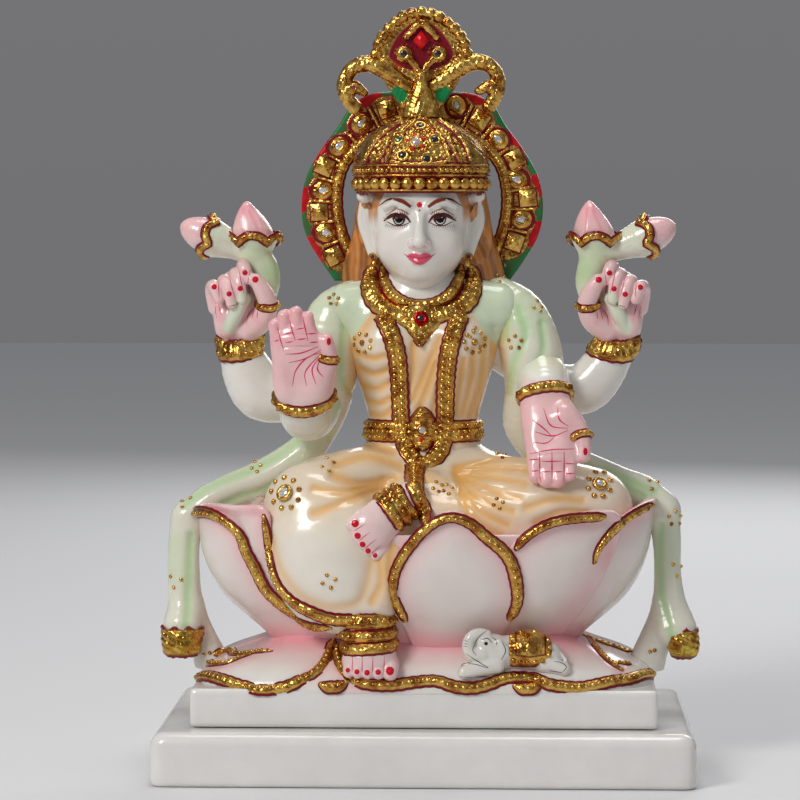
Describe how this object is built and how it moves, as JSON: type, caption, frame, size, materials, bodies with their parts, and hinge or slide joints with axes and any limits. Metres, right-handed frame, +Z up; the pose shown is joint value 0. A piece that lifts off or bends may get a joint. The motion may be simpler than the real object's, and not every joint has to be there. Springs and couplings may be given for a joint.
{
  "type": "hindu deity statue",
  "caption": "Painted and gilded marble statue of a seated four-armed deity on a lotus, on a stepped plinth, with a halo, crown, shawl and a small elephant.",
  "frame": {"origin": "middle of the plinth's underside", "axes": "+Z up, -Y towards the viewer that the figure faces, +X to the viewer's right"},
  "size_m": [0.213, 0.13, 0.3046],
  "materials": {
    "marble": "polished white marble",
    "marble_pink": "polished white marble tinted pink at the edges",
    "marble_green": "polished white marble with pale green washes",
    "hair_paint": "painted brown marble",
    "stem_paint": "painted pale green marble",
    "bud_paint": "painted pink marble",
    "gold_leaf": "gilded raised paste work",
    "stones": "small set glass stones"
  },
  "bodies": {
    "root": {"anklets": "gold_leaf", "back_left_arm": "marble", "back_left_hand": "marble", "back_right_arm": "marble", "back_right_hand": "marble", "bangles_back": "gold_leaf", "bangles_front": "gold_leaf", "collar_necklace": "gold_leaf", "crest": "gold_leaf", "crest_volutes": "gold_leaf", "crown_band": "gold_leaf", "crown_dome": "gold_leaf", "ear_studs": "gold_leaf", "elephant": "marble", "elephant_saddle_cloth": "gold_leaf", "folded_foot": "marble", "folded_leg": "marble", "front_left_arm": "marble", "front_left_hand": "marble", "front_right_arm": "marble", "front_right_hand": "marble", "front_sash": "gold_leaf", "garment_hem_trim": "gold_leaf", "ground_petals": "marble_pink", "ground_trim": "gold_leaf", "hair": "hair_paint", "halo": "gold_leaf", "hanging_foot": "marble", "hanging_leg": "marble", "head": "marble", "hips": "marble", "long_necklace": "gold_leaf", "lotus_bowl": "marble_pink", "lotus_buds_left": "bud_paint", "lotus_buds_right": "bud_paint", "lotus_petal_front": "marble_pink", "lotus_petal_front_left": "marble_pink", "lotus_petal_front_right": "marble_pink", "lotus_petal_side_left": "marble_pink", "lotus_petal_side_right": "marble_pink", "lotus_petals_back": "marble_pink", "lotus_stem_left": "stem_paint", "lotus_stem_right": "stem_paint", "pendant": "gold_leaf", "petal_trim_front": "gold_leaf", "plinth": "marble", "set_stones": "stones", "shawl_end_caps": "gold_leaf", "shawl_fall_left": "marble_green", "shawl_fall_right": "marble_green", "shawl_over_arm_left": "marble_green", "shawl_over_arm_right": "marble_green", "shawl_sweep_left": "marble_green", "shawl_sweep_right": "marble_green", "step_block": "marble", "thumb_rings": "gold_leaf", "torso": "marble", "waist_belt": "gold_leaf"}
  },
  "joints": []
}
